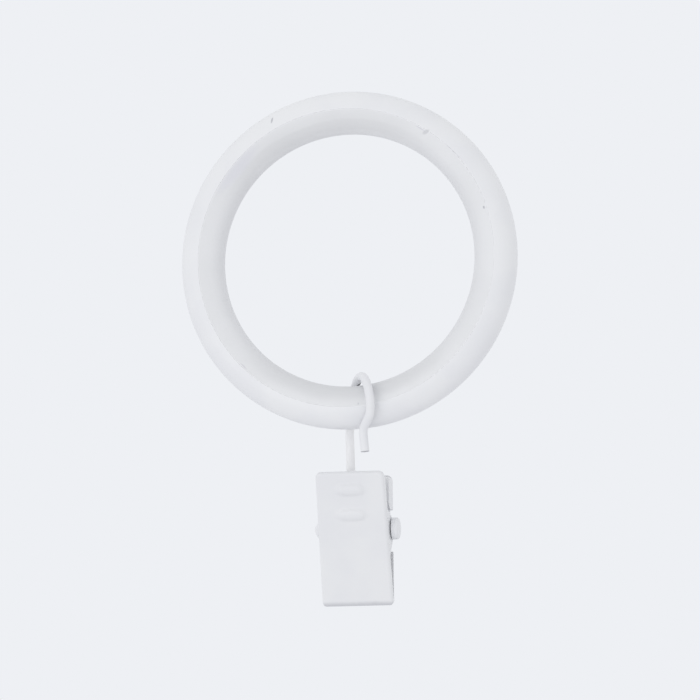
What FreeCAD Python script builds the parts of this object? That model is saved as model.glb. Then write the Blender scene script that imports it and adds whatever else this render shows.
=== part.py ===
import FreeCAD, Part
import math
import os

# Curtain ring with a sprung clip that hangs from it on a bent wire hook.
# Lengths are in millimetres and angles in degrees.
# The origin is the centre of the ring, the ring's axis lies along Y and the clip hangs towards -Z.
# The front of the object faces -Y.

# Ring: a rolled steel channel, open towards the bore, with a plastic liner snapped into it
bore_diameter = 38.0
band_width = 6.44  # across the ring's section, from the bore to the rim
band_depth = 6.0  # along the ring's axis
shell_wall = 0.7
lip_bevel = 0.06  # on the outer edges of the channel's two lips
liner_inset = 0.05  # how far the liner's flanks lie inside the shell's
seam_gap = 0.01  # between the lips and the liner's shoulders
liner_taper = 20.0  # of the liner's flanks, from the ring's face towards the bore
tongue_reach = 1.2  # how far the liner goes into the channel
tongue_clearance = 0.03

# Wire hook: an eye on the rivet, a straight shank behind the ring, a bend over it and a sprung nose
wire_diameter = 1.3
hook_clearance = 0.75  # between the bend and the ring's section
hook_shift = 2.05  # sideways from the bottom of the ring to the middle of the bend
hook_turn = 25.0  # of the bend about its upright, away from the clip's front
hook_tilt = 10.2  # of the hanging hook, its foot towards the back
shank_shift = -0.95  # sideways from the bottom of the ring to the shank
shank_bend_drop = 4.0  # from the middle of the ring's section to the slight bend in the shank
shank_bend_radius = 8.0
throat = 5.7  # clear way between the nose and the shank
shoulder_bend_radius = 2.2
nose_drop = 3.1  # from the middle of the ring's section down to the nose
nose_shift = -1.55  # sideways from the front leg to the nose
nose_bend_radius = 1.8
tip_drop = 3.3  # from the nose down to the cut end
tip_flare = 0.6  # how far the cut end lies in front of the nose
tip_shift = 0.35  # sideways from the nose to the cut end
hook_drop = 18.3  # from the middle of the ring's section down to the rivet
eye_clearance = 0.07
eye_turn = 280.0

# Clip: two folded sheet jaws on a rivet
sheet = 0.7
front_width = 10.54  # at the rivet, as for the rear jaw
rear_width = 10.0
jaw_taper = 0.58  # of each side of a jaw, which is widest at its foot
clip_shift = -0.35  # sideways from the bottom of the ring to the middle of the clip
front_handle = 9.4  # from the rivet up to the front jaw's top edge
rear_handle = 8.3
grip_length = 11.25  # from the rivet down to the underside of the lip
jaw_standoff = 2.45  # from the rivet's axis to the inner face of a jaw
top_corner_radius = 0.8
foot_corner_radius = 0.9
edge_round = 0.45  # of the rim of a jaw's outer face
lip_turn = 80.0
lip_bend_radius = 0.4
lip_straight = 0.35
lip_gap = 0.06  # between the closed lips

# Side flanges and lugs of the jaws, measured along the plate from the rivet
lug_radius = 1.75
lug_clearance = 0.1  # between the rear jaw's lugs and the front jaw's flanges
flange_drop = 0.9  # from the top edge to the flanges
flange_depth = 0.6
flange_slope = 0.5
flange_waist = 3.4  # where the flanges begin to widen into lugs
flange_foot = 3.6
rear_flange_drop = 0.5
rear_flange_depth = 2.85
rear_flange_round = 0.9
rear_flange_foot = 3.1
rear_lug_foot = 3.2
lug_relief = 0.2  # between the foot of a rear flange and the lug below it

# Finger ribs pressed out of both handles
rib_drops = (2.7, 6.5)  # below the top edge
rib_straight = 2.4  # between the middles of a rib's round ends
rib_height = 0.22
rib_groove_radius = 1.3
rib_blend = 1.2  # radius of the hollow round a rib's foot

# Rivet
rivet_diameter = 1.5
rivet_fit = 0.02  # in the front jaw, which carries it
hinge_clearance = 0.06  # in the rear jaw, which turns on it
head_clearance = 0.2  # under the turned head
peened_clearance = 0.05
head_diameter = 3.3
head_height = 1.0
head_round = 0.45
peened_diameter = 2.8
peened_height = 1.0

# Spring: two coils on the rivet, joined by a bridge behind the shank, with a leg at each outer end
spring_wire = 0.5
spring_clearance = 0.15
spring_pitch = 0.6
spring_turns = 2  # whole turns of each coil, to which the legs add most of a half
spring_gap = 3.1  # between the middles of the inner turns
spring_leg = 6.0
bridge_bend_radius = 0.6
leg_clearance = 0.1

# Sizes that follow from those above
bore_radius = bore_diameter / 2
rim_radius = bore_radius + band_width
mean_radius = bore_radius + band_width / 2
half_depth = band_depth / 2
lip_radius = rim_radius - half_depth
wire_radius = wire_diameter / 2
rivet_radius = rivet_diameter / 2
hook_radius = max(band_width, band_depth) / 2 + hook_clearance + wire_radius
shank_back = hook_radius * math.cos(math.radians(hook_turn))
lug_half_width = front_width / 2 - sheet - lug_clearance
foot_flare = grip_length * math.tan(math.radians(jaw_taper))

touch = 1e-4  # distance at which an edge counts as lying in a plane

X_AXIS = FreeCAD.Vector(1, 0, 0)
Y_AXIS = FreeCAD.Vector(0, 1, 0)
ORIGIN = FreeCAD.Vector(0, 0, 0)


def polar(radius, angle):
    """Point of the upright plane X = 0 at an angle from +Y towards +Z."""
    turn = math.radians(angle)
    return FreeCAD.Vector(0, radius * math.cos(turn), radius * math.sin(turn))


def outline(*steps):
    """Closed wire through points; a pair (middle, end) goes there along an arc."""
    start = steps[0]
    edges = []
    here = start
    for step in steps[1:] + (start,):
        if isinstance(step, tuple):
            middle, end = step
            edges.append(Part.Arc(here, middle, end).toShape())
        else:
            end = step
            edges.append(Part.makeLine(here, end))
        here = end
    return Part.Wire(edges)


def bent_path(points, radii):
    """Edges of a path through points, with a tangent arc at each corner."""
    edges = []
    here = points[0]
    for before, corner, after, radius in zip(points, points[1:], points[2:], radii):
        back = (before - corner).normalize()
        ahead = (after - corner).normalize()
        half = back.getAngle(ahead) / 2
        middle_way = (back + ahead).normalize()
        arc_start = corner + back * (radius / math.tan(half))
        arc_end = corner + ahead * (radius / math.tan(half))
        arc_middle = corner + middle_way * (radius / math.sin(half) - radius)
        edges.append(Part.makeLine(here, arc_start))
        edges.append(Part.Arc(arc_start, arc_middle, arc_end).toShape())
        here = arc_end
    edges.append(Part.makeLine(here, points[-1]))
    return edges


def round_wire(path, radius, frenet=False):
    """Solid of a round wire bent along a path."""
    start = path.OrderedEdges[0]
    first, last = start.ParameterRange
    if path.OrderedVertexes[0].Point.distanceToPoint(start.valueAt(first)) > 1e-6:
        first = last
    section = Part.Wire(Part.makeCircle(radius, start.valueAt(first), start.tangentAt(first)))
    return path.makePipeShell([section], True, frenet)


def turned_on_ring_axis(wire):
    return Part.Face(wire).revolve(ORIGIN, Y_AXIS, 360)


def ring_shell():
    """Half-round channel, open towards the bore, with bevelled lips."""
    inner = half_depth - shell_wall
    edge = lip_radius + lip_bevel
    flank = math.sqrt(half_depth**2 - lip_bevel**2)
    lip = half_depth - lip_bevel
    section = outline(
        FreeCAD.Vector(edge, -flank, 0),
        (FreeCAD.Vector(rim_radius, 0, 0), FreeCAD.Vector(edge, flank, 0)),
        FreeCAD.Vector(lip_radius, lip, 0),
        FreeCAD.Vector(lip_radius, inner, 0),
        (FreeCAD.Vector(rim_radius - shell_wall, 0, 0), FreeCAD.Vector(lip_radius, -inner, 0)),
        FreeCAD.Vector(lip_radius, -lip, 0),
    )
    return turned_on_ring_axis(section)


def ring_liner():
    """Insert with tapered flanks and a round nose, whose tongue fills the mouth of the channel."""
    flank = half_depth - liner_inset
    tongue = half_depth - shell_wall - tongue_clearance
    shoulder = lip_radius - seam_gap
    fall = math.sin(math.radians(liner_taper))
    level = math.cos(math.radians(liner_taper))
    nose = (flank * level - (shoulder - bore_radius) * fall) / (1 - fall)
    nose_start = bore_radius + nose * (1 - fall)
    tongue_end = math.sqrt(tongue**2 - tongue_reach**2)
    tongue_side = math.asin(tongue_reach / tongue) / 2
    side_out = lip_radius + tongue * math.sin(tongue_side)
    side_across = tongue * math.cos(tongue_side)
    section = outline(
        FreeCAD.Vector(shoulder, flank, 0),
        FreeCAD.Vector(nose_start, nose * level, 0),
        (FreeCAD.Vector(bore_radius, 0, 0), FreeCAD.Vector(nose_start, -nose * level, 0)),
        FreeCAD.Vector(shoulder, -flank, 0),
        FreeCAD.Vector(shoulder, -tongue, 0),
        FreeCAD.Vector(lip_radius, -tongue, 0),
        (
            FreeCAD.Vector(side_out, -side_across, 0),
            FreeCAD.Vector(lip_radius + tongue_reach, -tongue_end, 0),
        ),
        FreeCAD.Vector(lip_radius + tongue_reach, tongue_end, 0),
        (FreeCAD.Vector(side_out, side_across, 0), FreeCAD.Vector(lip_radius, tongue, 0)),
        FreeCAD.Vector(shoulder, tongue, 0),
    )
    return turned_on_ring_axis(section)


def wire_hook():
    """Hook bent from one wire, from the end of its eye up the shank and over to its cut tip."""
    rivet = FreeCAD.Vector(shank_shift, shank_back, -hook_drop)
    eye = rivet_radius + eye_clearance + wire_radius
    neck = eye
    neck_height = math.sqrt((eye + neck) ** 2 - neck**2)
    neck_centre = FreeCAD.Vector(0, -neck, neck_height)
    neck_start = neck_centre * (eye / (eye + neck))
    neck_end = FreeCAD.Vector(0, 0, neck_height)
    neck_middle = neck_centre + ((neck_start + neck_end) / 2 - neck_centre).normalize() * neck
    start_angle = math.degrees(math.atan2(neck_start.z, neck_start.y))
    eye_arc = Part.Arc(
        rivet + polar(eye, start_angle + eye_turn),
        rivet + polar(eye, start_angle + eye_turn / 2),
        rivet + neck_start,
    ).toShape()
    neck_arc = Part.Arc(rivet + neck_start, rivet + neck_middle, rivet + neck_end).toShape()

    sideways = hook_radius * math.sin(math.radians(hook_turn))
    front = FreeCAD.Vector(hook_shift + sideways, -shank_back, 0)
    nose = FreeCAD.Vector(front.x + nose_shift, shank_back - wire_diameter - throat, -nose_drop)
    corners = [
        rivet + neck_end,
        FreeCAD.Vector(shank_shift, shank_back, -shank_bend_drop),
        FreeCAD.Vector(hook_shift - sideways, shank_back, hook_radius),
        FreeCAD.Vector(front.x, front.y, hook_radius),
        FreeCAD.Vector(front.x, front.y, -wire_radius),
        nose,
        nose + FreeCAD.Vector(tip_shift, -tip_flare, -tip_drop),
    ]
    bends = [shank_bend_radius, hook_radius, hook_radius, shoulder_bend_radius, nose_bend_radius]
    path = Part.Wire([eye_arc, neck_arc] + bent_path(corners, bends))
    return round_wire(path, wire_radius)


def lip_profile(handle):
    """Side view of a jaw's plate and lip, and the lip's inner edge, with the inner face towards +Y."""
    turn = math.radians(lip_turn)
    outer = lip_bend_radius + sheet
    lip_height = outer * math.sin(turn) + lip_straight * math.cos(turn)
    centre = FreeCAD.Vector(0, lip_bend_radius - jaw_standoff, lip_height - grip_length)
    along = FreeCAD.Vector(0, math.sin(turn), -math.cos(turn)) * lip_straight
    inner_end = centre + polar(lip_bend_radius, 180 + lip_turn) + along
    outer_end = centre + polar(outer, 180 + lip_turn) + along
    wire = outline(
        FreeCAD.Vector(0, -jaw_standoff - sheet, handle),
        FreeCAD.Vector(0, -jaw_standoff, handle),
        centre + polar(lip_bend_radius, 180),
        (centre + polar(lip_bend_radius, 180 + lip_turn / 2), inner_end - along),
        inner_end,
        outer_end,
        outer_end - along,
        (centre + polar(outer, 180 + lip_turn / 2), centre + polar(outer, 180)),
    )
    return wire, inner_end


def closing_angle():
    """Turn of a jaw about the rivet at which its lip meets the other one."""
    edge = lip_profile(front_handle)[1]
    reach = math.hypot(edge.y, edge.z)
    return math.degrees(math.atan2(-edge.y, -edge.z) - math.asin(lip_gap / 2 / reach))


def jaw_plate(width, handle):
    """Plate with its lip turned in at the foot, as wide there as all the way up."""
    profile = lip_profile(handle)[0]
    foot = width / 2 + foot_flare
    profile.translate(FreeCAD.Vector(-foot, 0, 0))
    return Part.Face(profile).extrude(FreeCAD.Vector(2 * foot, 0, 0))


def jaw_blank(width, handle):
    """Tapered block that a jaw is trimmed to, with its corners and the rim of its outer face rounded."""
    depth = jaw_standoff + sheet
    top = width / 2 - handle * math.tan(math.radians(jaw_taper))
    foot = width / 2 + foot_flare
    front_view = outline(
        FreeCAD.Vector(-foot, -depth, -grip_length),
        FreeCAD.Vector(foot, -depth, -grip_length),
        FreeCAD.Vector(top, -depth, handle),
        FreeCAD.Vector(-top, -depth, handle),
    )
    blank = Part.Face(front_view).extrude(FreeCAD.Vector(0, 2 * depth, 0))
    blank = blank.makeFillet(top_corner_radius, [e for e in cross_edges(blank) if e.CenterOfMass.z > 0])
    corners = [e for e in cross_edges(blank) if e.CenterOfMass.z < touch - grip_length]
    blank = blank.makeFillet(foot_corner_radius, corners)
    rim = [e for e in blank.Edges if e.CenterOfMass.y < touch - depth]
    return blank.makeFillet(edge_round, rim)


def cross_edges(blank):
    """Edges of a block that run straight from front to back."""
    return [e for e in blank.Edges if e.BoundBox.YLength > jaw_standoff]


def side_pair(wire, inner, outer):
    """The two cheeks of a jaw, between two distances from its middle."""
    right = Part.Face(wire).extrude(FreeCAD.Vector(outer - inner, 0, 0))
    right.translate(FreeCAD.Vector(inner, 0, 0))
    return right.fuse(right.mirror(ORIGIN, X_AXIS))


def lug_tangent(point, side):
    """Where a line from a point meets the lug's round, on its right (-1) or left (+1) from there."""
    angle = math.atan2(point.z, point.y) + side * math.acos(lug_radius / math.hypot(point.y, point.z))
    return polar(lug_radius, math.degrees(angle))


def lug_outline(leading, foot):
    """Side view of a cheek: its leading points, then out round the rivet and back to the plate."""
    heel = FreeCAD.Vector(0, -jaw_standoff, -foot)
    return outline(
        *leading,
        lug_tangent(leading[-1], -1),
        (polar(lug_radius, 0), lug_tangent(heel, 1)),
        heel,
        FreeCAD.Vector(0, -jaw_standoff - sheet, -foot),
    )


def with_ribs(jaw, handle):
    """The jaw with two finger ribs pressed outwards: ridges that run out into the face, and grooves inside."""
    outer_face = -jaw_standoff - sheet
    ridge_radius = rib_groove_radius + sheet
    half_rib = math.sqrt(ridge_radius**2 - (ridge_radius - rib_height) ** 2)
    rib_end = rib_straight / 2 + half_rib
    axis = outer_face - rib_height + ridge_radius
    outside = Part.makeBox(
        front_width,
        sheet + rib_height,
        handle,
        FreeCAD.Vector(-front_width / 2, outer_face - rib_height, 0),
    )
    for drop in rib_drops:
        centre = FreeCAD.Vector(0, axis, handle - drop)
        jaw = jaw.fuse(capsule(centre, rib_straight, ridge_radius).common(outside))
        on_face = [e for e in jaw.Edges if abs(e.CenterOfMass.y - outer_face) < touch]
        near = [e for e in on_face if abs(e.CenterOfMass.z - centre.z) < half_rib + touch]
        foot = [e for e in near if abs(e.CenterOfMass.x) < rib_end]
        jaw = jaw.makeFillet(rib_blend, foot)
        jaw = jaw.cut(capsule(centre, rib_straight, rib_groove_radius))
    return jaw


def capsule(centre, straight, radius):
    """Round-ended bar along X."""
    end = X_AXIS * (straight / 2)
    bar = Part.makeCylinder(radius, 2 * end.x, centre - end, X_AXIS)
    return bar.fuse([Part.makeSphere(radius, centre + end), Part.makeSphere(radius, centre - end)])


def rivet_hole(clearance):
    return Part.makeCylinder(
        rivet_radius + clearance,
        2 * front_width,
        FreeCAD.Vector(-front_width, 0, 0),
        X_AXIS,
    )


def front_jaw():
    """Jaw whose flanges run down both sides of the handle and carry the rivet."""
    plate = -jaw_standoff
    flange_top = front_handle - flange_drop
    leading = [
        FreeCAD.Vector(0, plate - sheet, flange_top),
        FreeCAD.Vector(0, plate, flange_top),
        FreeCAD.Vector(0, plate + flange_depth, flange_top - flange_slope),
        FreeCAD.Vector(0, plate + flange_depth, flange_waist),
    ]
    side = front_width / 2
    cheeks = side_pair(lug_outline(leading, flange_foot), side - sheet, side + foot_flare)
    jaw = jaw_plate(front_width, front_handle).fuse(cheeks)
    jaw = jaw.cut(rivet_hole(rivet_fit)).common(jaw_blank(front_width, front_handle))
    return with_ribs(jaw.removeSplitter(), front_handle)


def rear_jaw():
    """Narrower jaw with handle flanges, notched below them where its lugs are folded up."""
    plate = -jaw_standoff
    lug_top = rear_flange_foot - lug_relief
    notch = Part.makeBox(
        rear_width,
        3 * sheet,
        rear_flange_foot + rear_lug_foot,
        FreeCAD.Vector(lug_half_width, plate - 2 * sheet, -rear_lug_foot),
    )
    jaw = jaw_plate(rear_width, rear_handle).cut([notch, notch.mirror(ORIGIN, X_AXIS)])
    leading = [FreeCAD.Vector(0, plate - sheet, lug_top), FreeCAD.Vector(0, plate, lug_top)]
    lugs = side_pair(lug_outline(leading, rear_lug_foot), lug_half_width - sheet, lug_half_width)

    flange_top = rear_handle - rear_flange_drop
    inset = plate + rear_flange_depth - rear_flange_round
    upper = FreeCAD.Vector(0, inset, flange_top - rear_flange_round)
    lower = FreeCAD.Vector(0, inset, rear_flange_foot + rear_flange_round)
    flange = outline(
        FreeCAD.Vector(0, plate - sheet, flange_top),
        upper + polar(rear_flange_round, 90),
        (upper + polar(rear_flange_round, 45), upper + polar(rear_flange_round, 0)),
        lower + polar(rear_flange_round, 0),
        (lower + polar(rear_flange_round, -45), lower + polar(rear_flange_round, -90)),
        FreeCAD.Vector(0, plate - sheet, rear_flange_foot),
    )
    side = rear_width / 2
    flanges = side_pair(flange, side - sheet, side + foot_flare)
    jaw = jaw.fuse([lugs, flanges])
    jaw = jaw.cut(rivet_hole(hinge_clearance)).common(jaw_blank(rear_width, rear_handle))
    return with_ribs(jaw.removeSplitter(), rear_handle).mirror(ORIGIN, Y_AXIS)


def pivot_rivet():
    """Rivet with a turned head on the right and a peened head on the left."""
    head_seat = front_width / 2 + head_clearance
    dome_seat = front_width / 2 + peened_clearance
    shaft = Part.makeCylinder(rivet_radius, head_seat + dome_seat, X_AXIS * -dome_seat, X_AXIS)
    head = Part.makeCylinder(head_diameter / 2, head_height, X_AXIS * head_seat, X_AXIS)
    rim = [e for e in head.Edges if e.BoundBox.XMin > head_seat + head_height / 2]
    head = head.makeFillet(head_round, rim)
    dome_radius = (peened_diameter**2 / 4 + peened_height**2) / (2 * peened_height)
    rise = dome_radius - peened_height
    dome_start = math.degrees(math.asin(rise / dome_radius))
    dome = Part.makeSphere(dome_radius, X_AXIS * (rise - dome_seat), X_AXIS * -1, dome_start, 90, 360)
    return shaft.fuse([head, dome]).removeSplitter()


def torsion_spring():
    """Double torsion spring, its legs on the front handle and its bridge on the rear one."""
    coil = rivet_radius + spring_clearance + spring_wire / 2
    reach = jaw_standoff - spring_wire / 2 - leg_clearance
    lean = math.atan2(spring_leg, coil) - math.acos(reach / math.hypot(coil, spring_leg))
    lean = math.degrees(lean) + closing_angle()
    turn = 360 * spring_turns + 180 - 2 * lean
    length = spring_pitch * turn / 360
    inner = spring_gap / 2
    up = polar(1, 90 - lean)
    rear_foot = polar(coil, -lean)
    front_foot = FreeCAD.Vector(0, -rear_foot.y, rear_foot.z)
    leg_up = FreeCAD.Vector(0, -up.y, up.z)
    radius = spring_wire / 2

    helix = Part.makeHelix(spring_pitch, length, coil)
    helix.Placement = FreeCAD.Placement(
        X_AXIS * inner, FreeCAD.Rotation(FreeCAD.Vector(0, 1, 0), FreeCAD.Vector(0, 0, 1), X_AXIS, "ZXY")
    )
    helix.rotate(ORIGIN, X_AXIS, -lean)
    coil_solid = round_wire(helix, radius, frenet=True)
    leg_start = front_foot + X_AXIS * (inner + length)
    leg = Part.makeCylinder(radius, spring_leg, leg_start, leg_up)
    knees = [Part.makeSphere(radius, leg_start), Part.makeSphere(radius, rear_foot + X_AXIS * inner)]
    half = coil_solid.fuse([leg] + knees)
    corners = [
        rear_foot + X_AXIS * inner,
        rear_foot + X_AXIS * inner + up * spring_leg,
        rear_foot - X_AXIS * inner + up * spring_leg,
        rear_foot - X_AXIS * inner,
    ]
    bridge = round_wire(Part.Wire(bent_path(corners, [bridge_bend_radius] * 2)), radius)
    return half.fuse([half.mirror(ORIGIN, X_AXIS), bridge])


def placed(shape, *placements):
    """The shape after the placements, the last one applied first."""
    whole = FreeCAD.Placement()
    for placement in placements:
        whole = whole * placement
    return shape.transformed(whole.toMatrix())


def about_x(angle, base=ORIGIN):
    return FreeCAD.Placement(base, FreeCAD.Rotation(X_AXIS, angle))


hanging = about_x(hook_tilt, FreeCAD.Vector(0, 0, -mean_radius))
at_rivet = FreeCAD.Placement(FreeCAD.Vector(clip_shift, shank_back, -hook_drop), FreeCAD.Rotation())

parts = {
    "ring_shell": ring_shell(),
    "ring_liner": ring_liner(),
    "wire_hook": placed(wire_hook(), hanging),
    "front_jaw": placed(front_jaw(), hanging, at_rivet, about_x(closing_angle())),
    "rear_jaw": placed(rear_jaw(), hanging, at_rivet, about_x(-closing_angle())),
    "pivot_rivet": placed(pivot_rivet(), hanging, at_rivet),
    "torsion_spring": placed(torsion_spring(), hanging, at_rivet),
}

os.makedirs("parts", exist_ok=True)
for name, shape in parts.items():
    shape.exportStep(f"parts/{name}.step")
    print(name, len(shape.Solids), round(shape.Volume, 2), shape.isValid())
print("closing angle", round(closing_angle(), 2))
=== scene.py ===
import bpy
import math
from mathutils import Color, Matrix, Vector


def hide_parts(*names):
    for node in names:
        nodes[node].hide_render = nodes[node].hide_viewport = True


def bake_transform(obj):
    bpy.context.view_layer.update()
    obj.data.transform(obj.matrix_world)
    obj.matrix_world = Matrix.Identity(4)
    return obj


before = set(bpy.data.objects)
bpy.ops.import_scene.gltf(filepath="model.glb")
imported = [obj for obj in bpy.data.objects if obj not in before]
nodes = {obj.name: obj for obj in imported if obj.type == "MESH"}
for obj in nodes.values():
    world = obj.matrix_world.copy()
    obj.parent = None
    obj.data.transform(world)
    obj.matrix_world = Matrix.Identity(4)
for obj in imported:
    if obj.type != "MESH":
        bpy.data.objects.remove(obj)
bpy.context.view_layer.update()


# Ring, outer half
# A steel channel rolled into a hoop and powder coated white, with its open side to the bore.
# The coat is satin and faintly pebbled, with a nick at the upper left, chips along its edge and painted
# light along the seam.
mm = 0.001


class Shade:
    """A socket of a material. Sums on it add Math nodes, and node() adds a node of any other type."""

    def __init__(self, tree, socket=None):
        self.tree = tree
        self.socket = socket

    def node(self, kind, settings, inputs, output=0):
        made = self.tree.nodes.new("ShaderNode" + kind)
        for name, value in settings.items():
            setattr(made, name, value)
        for name, value in inputs.items():
            if isinstance(value, Shade):
                self.tree.links.new(value.socket, made.inputs[name])
            else:
                made.inputs[name].default_value = value
        return Shade(self.tree, made.outputs[output] if made.outputs else None)

    def maths(self, operation, first, second=0.0):
        return self.node("Math", {"operation": operation}, {0: first, 1: second})

    def __add__(self, other):
        return self.maths("ADD", self, other)

    def __sub__(self, other):
        return self.maths("SUBTRACT", self, other)

    def __rsub__(self, other):
        return self.maths("SUBTRACT", other, self)

    def __mul__(self, other):
        return self.maths("MULTIPLY", self, other)

    def __abs__(self):
        return self.maths("ABSOLUTE", self)

    __radd__ = __add__
    __rmul__ = __mul__

    def fade(self, start, end):
        """1 below start and 0 above end, with a smooth way between."""
        span = {"From Min": start, "From Max": end, "To Min": 1.0, "To Max": 0.0}
        return self.node("MapRange", {"interpolation_type": "SMOOTHSTEP"}, {"Value": self, **span})

    def mixed(self, under, over):
        """The colour under, turning to the colour over where this is 1."""
        share, first, second, result = 0, 6, 7, 2  # the node's colour sockets share their names with others
        return self.node("Mix", {"data_type": "RGBA"}, {share: self, first: under, second: over}, result)

    def point(self):
        return self.node("TexCoord", {}, {}, "Object")

    def place(self, axis):
        """Distance in mm along the axis X, Y or Z."""
        return self.node("SeparateXYZ", {}, {"Vector": self.point()}, axis) * (1 / mm)

    def noise(self, size, detail=2.0):
        """Soft noise from 0 to 1, with blots of a size in mm."""
        scale = 1 / (size * mm)
        return self.node("TexNoise", {}, {"Vector": self.point(), "Scale": scale, "Detail": detail})

    def mark(self, place, along, length, width, soft=0.6, ragged=0.8):
        """1 in an oval at a place in mm, its long side along a direction, and 0 outside its soft edge."""
        rim = 1.2
        rag_size = 0.25
        half_length = length * mm / 2
        half_width = width * mm / 2
        way = Vector(along).normalized()
        off = self.node("VectorMath", {"operation": "SUBTRACT"}, {0: self.point(), 1: Vector(place) * mm})
        run = self.node("VectorMath", {"operation": "DOT_PRODUCT"}, {0: off, 1: way}, "Value")
        far = self.node("VectorMath", {"operation": "LENGTH"}, {0: off}, "Value")
        across = far * far - run * run
        oval = run * run * half_length**-2 + across * half_width**-2
        return (oval + self.noise(rag_size) * ragged).fade(rim - soft, rim + soft)

    def coat(self, tint, dull, pebble):
        """Base Color, Roughness and Normal of a white skin, from its two tints and its pebbling in mm."""
        cloud_size, cloud_detail, cloud_edge = 7.0, 3.0, (0.35, 0.65)
        pebble_height, pebble_strength = 0.04 * mm, 0.12
        least_rough, rough_spread = 0.32, 0.16
        tone = self.noise(cloud_size, cloud_detail).fade(*cloud_edge).mixed(tint, dull)
        grain = self.noise(pebble)
        relief = {"Height": grain, "Strength": pebble_strength, "Distance": pebble_height}
        return tone, grain * rough_spread + least_rough, self.node("Bump", {}, relief)

    def skin(self, tone, rough, bump):
        """Ends the material as a satin skin."""
        look = {"Base Color": tone, "Roughness": rough, "Normal": bump, "Specular IOR Level": 0.4}
        self.node("OutputMaterial", {}, {"Surface": self.node("BsdfPrincipled", {}, look)})


def screen(red, green, blue):
    """A colour given as it looks on a screen, from 0 to 255."""
    return *Color((red / 255, green / 255, blue / 255)).from_srgb_to_scene_linear(), 1.0


def finish(name, *pieces):
    """A new material on some of the pieces, and the start of its nodes."""
    material = bpy.data.materials.new(name)
    material.use_nodes = True
    material.node_tree.nodes.clear()
    for piece in pieces:
        nodes[piece].data.materials.clear()
        nodes[piece].data.materials.append(material)
    return Shade(material.node_tree)


coat_white = screen(235, 236, 238)
coat_dull = screen(232, 233, 236)
# painted light: a paler line along the seam, against the shade in its crease
painted_seam_light = screen(240, 241, 243)
scuffed = screen(218, 218, 223)
# grey of chipped coat, also used as painted shade on the hook tip's end face
chip_and_shade_grey = screen(194, 195, 200)
seam_radius = 22.44
seam_light_span = (0.02, 0.16)  # distances off the seam between which the painted light fades
hairline_depth = 0.6
chip_depth = 0.55


def from_axis(shade):
    """Distance in mm from the ring's axis."""
    across = shade.node("VectorMath", {"operation": "MULTIPLY"}, {0: shade.point(), 1: (1 / mm, 0, 1 / mm)})
    return shade.node("VectorMath", {"operation": "LENGTH"}, {0: across}, "Value")


def seam_light_and_wear(shade, tone):
    """The tone with painted light along the seam, against the shade in its crease, and the scratches and
    chips that cross it.
    """
    tone = abs(from_axis(shade) - seam_radius).fade(*seam_light_span).mixed(tone, painted_seam_light)
    scratch = shade.mark((11.35, -2.87, 19.07), along=(0.85, 0, -0.53), length=1.7, width=0.24)
    hairline = shade.mark((16.36, -2.97, 15.42), along=(0.72, 0, -0.7), length=4.4, width=0.16)
    rub = shade.mark((-15.51, -2.87, -15.88), along=(-0.7, 0, 0.71), length=1.3, width=0.24)
    chip = shade.mark((12.1, -2.86, 18.5), along=(0.9, 0, 0.45), length=1.5, width=0.6)
    knock = shade.mark((20.9, -2.8, 6.9), along=(0.5, 0, -0.87), length=0.5, width=0.36)
    for light in (scratch, hairline * hairline_depth, rub):
        tone = light.mixed(tone, scuffed)
    for deep in (chip * chip_depth, knock):
        tone = deep.mixed(tone, chip_and_shade_grey)
    return tone


shade = finish("ring_powder_coat", "ring_shell")
tone, rough, bump = shade.coat(coat_white, coat_dull, pebble=0.5)
nick = shade.mark((-11.28, -2.58, 21.1), along=(0.1, 0.39, 0.9), length=1.1, width=0.36)
tone = nick.mixed(seam_light_and_wear(shade, tone), chip_and_shade_grey)
shade.skin(tone, rough, bump)


# Ring, inner half
# A moulded plastic liner, a little greyer than the coat, snapped into the channel to run quietly on the rod.
# Painted shade greys it towards the bore and in a band at the top, where it turns from the light; it is also
# darker towards the bore at its foot. Its seam has painted light and its left flank a lilac smudge.
liner_white = screen(232, 233, 235)
liner_dull = screen(229, 230, 232)
# painted shade: the liner greys towards the bore, where it turns away from the light
bore_shade_grey = screen(220, 221, 224)
# painted shade in a band at the top of the bore, and a darker tone towards the bore at its foot
top_shade_and_foot_grey = screen(211, 212, 214)
smudge_lilac = screen(216, 216, 227)
drift, drift_size = 0.8, 5.0  # how far the darkened edges stray
top_lean = 0.25  # the painted shade at the top reaches further down on the left
top_rise = (11.0, 20.0)  # heights between which the painted shade of the top comes in
foot_rise = (-20.0, -11.0)  # heights between which the darkening at the foot dies out
bore_radii, bore_depth = (19.4, 22.4), 0.6  # each darkening fades from the first radius to the second
haze_radii, haze_depth = (21.4, 23.4), 0.3
foot_radii, foot_depth = (20.8, 22.6), 0.55
band_radius, band_edge, band_depth = 20.6, (0.5, 1.0), 0.42
top_cover = 0.8  # the share of the bore's painted shade that gives way to the top's
smudge_depth = 0.45
speck_depth = 0.5

shade = finish("liner_plastic", "ring_liner")
tone, rough, bump = shade.coat(liner_white, liner_dull, pebble=1.4)
radius = from_axis(shade) + shade.noise(drift_size) * drift
at_top = 1 - (shade.place("Z") - shade.place("X") * top_lean).fade(*top_rise)
at_foot = shade.place("Z").fade(*foot_rise)
# painted shade: darker towards the bore, and in a band at the top of the bore where the liner faces away
# from the light
bore_painted_shade = radius.fade(*bore_radii) * (1 - at_top * top_cover) * bore_depth
top_shadow_band = abs(radius - band_radius).fade(*band_edge) * at_top * band_depth
top_shadow_haze = radius.fade(*haze_radii) * at_top * haze_depth
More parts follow.
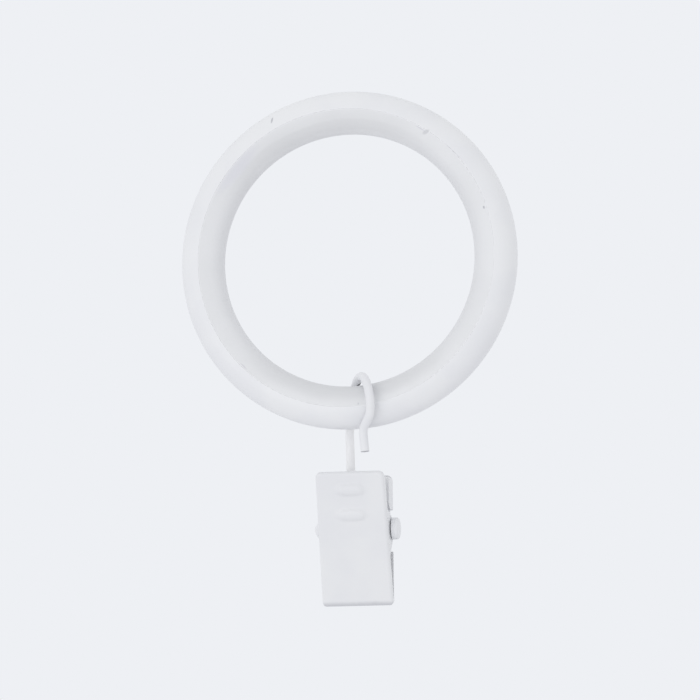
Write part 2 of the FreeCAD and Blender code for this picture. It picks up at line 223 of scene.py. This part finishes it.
# darker towards the bore at its foot
foot_darkening = radius.fade(*foot_radii) * at_foot * foot_depth
tone = bore_painted_shade.mixed(tone, bore_shade_grey)
for end in (top_shadow_band, top_shadow_haze, foot_darkening):
    tone = end.mixed(tone, top_shade_and_foot_grey)
smudge = shade.mark((-16.5, -2.6, 13.9), along=(0.65, 0, 0.76), length=8.5, width=1.8, soft=1.1)
speck = shade.mark((1.9, -2.9, -21.95), along=(0, 0, 1), length=0.5, width=0.34)
tone = (smudge * smudge_depth).mixed(seam_light_and_wear(shade, tone), smudge_lilac)
tone = (speck * speck_depth).mixed(tone, chip_and_shade_grey)
shade.skin(tone, rough, bump)


# Hook
# One length of steel wire, bent over the ring and round the rivet and coated with the rest.
# Painted shade greys the tip's end face, and a dark spot sits inside the bend. Painted light makes the shank
# whiter, against the shade of the ring and jaws.
painted_shank_light = screen(246, 246, 247)
bend_spot_dark = screen(62, 63, 68)
shank_start = (2.5, 4.0)  # depths between which the bend turns into the shank

shade = finish("wire_powder_coat", "wire_hook")
tone, rough, bump = shade.coat(coat_white, coat_dull, pebble=0.4)
# painted light: the shank is whiter, against the shade that the ring and jaws cast on it
tone = shade.place("Y").fade(*shank_start).mixed(painted_shank_light, tone)
# a dark spot inside the bend
bend_spot = shade.mark((1.2, 1.65, -18.5), along=(0.33, -0.17, 0.27), length=1.1, width=0.66, soft=0.4)
# painted shade: the tip's end face is greyed
tip_shade = shade.mark((2.8, -2.23, -29.12), along=(0.1, 0, -1), length=0.12, width=1.5, soft=0.3)
tone = bend_spot.mixed(tip_shade.mixed(tone, chip_and_shade_grey), bend_spot_dark)
shade.skin(tone, rough, bump)


# Jaws
# Two sheet blanks, folded round the rivet and pressed with two finger ribs each, then coated.
# The ribs have crisp flanks, and the lips' undersides are greyed by painted shade.
jaw_white = screen(233, 234, 236)
jaw_dull = screen(230, 231, 234)
lip_shade_grey = screen(209, 210, 214)
lip_rise = (-50.6, -50.0)  # heights between which the painted shade fades out
lip_drift, lip_drift_size = 0.3, 1.5
rib_side = -0.35
rib_places = ((1.94, -34.31), (3.22, -37.89), (10.65, -33.84), (10.71, -37.64))
rib_flank = 0.11 * mm

shade = finish("jaw_powder_coat", "front_jaw", "rear_jaw")
tone, rough, bump = shade.coat(jaw_white, jaw_dull, pebble=0.45)
# painted shade on the downward faces of the lips
lip = (shade.place("Z") + shade.noise(lip_drift_size) * lip_drift).fade(*lip_rise)
tone = lip.mixed(tone, lip_shade_grey)
for back, height in rib_places:
    rib = shade.mark((rib_side, back, height), along=(1, 0, 0), length=4.0, width=1.5, soft=1.1, ragged=0.0)
    relief = {"Height": rib, "Strength": 1.0, "Distance": rib_flank, "Normal": bump}
    bump = shade.node("Bump", {}, relief)
shade.skin(tone, rough, bump)


# Rivet
# A steel pin with a turned head on the right, peened over on the left and coated with the jaws.
# The front jaw's lugs hold it fast, and the hook's eye, the rear jaw and the spring turn on it.
shade = finish("rivet_powder_coat", "pivot_rivet")
tone, rough, bump = shade.coat(coat_white, coat_dull, pebble=0.35)
shade.skin(tone, rough, bump)


# Spring
# Drawn steel wire left bare, wound twice round the rivet on each side of the hook's eye.
# Its legs lean on the front handle and its bridge on the rear one, so that it winds up as the jaws open.
drawn_light = screen(168, 168, 170)
drawn_dark = screen(128, 128, 132)
drawn_size, drawn_edge = 0.3, (0.3, 0.7)
wire_rough, wire_spread = 0.25, 0.2
merge_distance = 1e-7

shade = finish("spring_wire", "torsion_spring")
drawn = shade.noise(drawn_size)
tone = drawn.fade(*drawn_edge).mixed(drawn_light, drawn_dark)
look = {"Base Color": tone, "Roughness": drawn * wire_spread + wire_rough, "Metallic": 1.0}
shade.node("OutputMaterial", {}, {"Surface": shade.node("BsdfPrincipled", {}, look)})

scene = bpy.context.scene
spring = bpy.data.objects.new("wound_spring", nodes["torsion_spring"].data.copy())
scene.collection.objects.link(spring)
bpy.ops.object.select_all(action="DESELECT")
spring.select_set(True)
bpy.context.view_layer.objects.active = spring
bpy.ops.object.mode_set(mode="EDIT")
bpy.ops.mesh.select_all(action="SELECT")
bpy.ops.mesh.remove_doubles(threshold=merge_distance)
bpy.ops.object.mode_set(mode="OBJECT")
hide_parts("torsion_spring")
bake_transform(spring)


# Studio
# The ring hangs in front of a pale, even ground, with a floor far below it.
# A large soft lamp stands to the front and left, and the pale surroundings light the rest.
ground = screen(238, 240, 244)
floor_white = screen(243, 243, 245)
floor_drop = 1.3
surround_tint = (0.985, 0.99, 1.0, 1.0)
surround_strength = 0.9
turn = math.radians(11.3)
rise = math.radians(-8.3)
distance = 1.6
image_width = 0.1043
aim_right = 0.0000745
aim_down = 0.013365


def shown(shade, kind, matt, even):
    """The matt shader for light on the object, and the even one for what is seen behind it."""
    rays = ("Is Camera Ray", "Is Glossy Ray", "Is Transmission Ray")
    camera_ray, glossy_ray, clear_ray = [shade.node("LightPath", {}, {}, ray) for ray in rays]
    seen = shade.maths("MAXIMUM", shade.maths("MAXIMUM", camera_ray, glossy_ray), clear_ray)
    mix = shade.node("MixShader", {}, {0: seen, 1: matt, 2: even})
    shade.node(kind, {}, {"Surface": mix})


bpy.ops.mesh.primitive_plane_add(size=30.0, location=(0, 0, -floor_drop))
floor = bpy.context.object
floor.name = "floor"
shade = finish("floor_paint")
matt = shade.node("BsdfDiffuse", {}, {"Color": floor_white})
even = shade.node("Emission", {}, {"Color": ground})
shown(shade, "OutputMaterial", matt, even)
floor.data.materials.append(bpy.data.materials["floor_paint"])

scene.world = bpy.data.worlds.new("surroundings")
scene.world.use_nodes = True
scene.world.node_tree.nodes.clear()
shade = Shade(scene.world.node_tree)
matt = shade.node("Background", {}, {"Color": surround_tint, "Strength": surround_strength})
even = shade.node("Background", {}, {"Color": ground})
shown(shade, "OutputWorld", matt, even)

bpy.ops.object.light_add(type="AREA", location=(-0.53, -1.17, -0.15))
lamp = bpy.context.object
lamp.data.shape = "DISK"
lamp.data.size = 0.9
lamp.data.energy = 2.3
lamp.rotation_euler = (-lamp.location).to_track_quat("-Z", "Y").to_euler()

back = Vector((math.sin(turn) * math.cos(rise), -math.cos(turn) * math.cos(rise), math.sin(rise)))
right = Vector((math.cos(turn), math.sin(turn), 0))
up = back.cross(right)
bpy.ops.object.camera_add(location=right * aim_right - up * aim_down + back * distance)
camera = bpy.context.object
camera.rotation_euler = (-back).to_track_quat("-Z", "Y").to_euler()
camera.data.sensor_width = 36.0
camera.data.lens = camera.data.sensor_width * distance / image_width
camera.data.clip_start = 0.05
camera.data.clip_end = 50.0
scene.camera = camera
scene.view_settings.view_transform = "Standard"
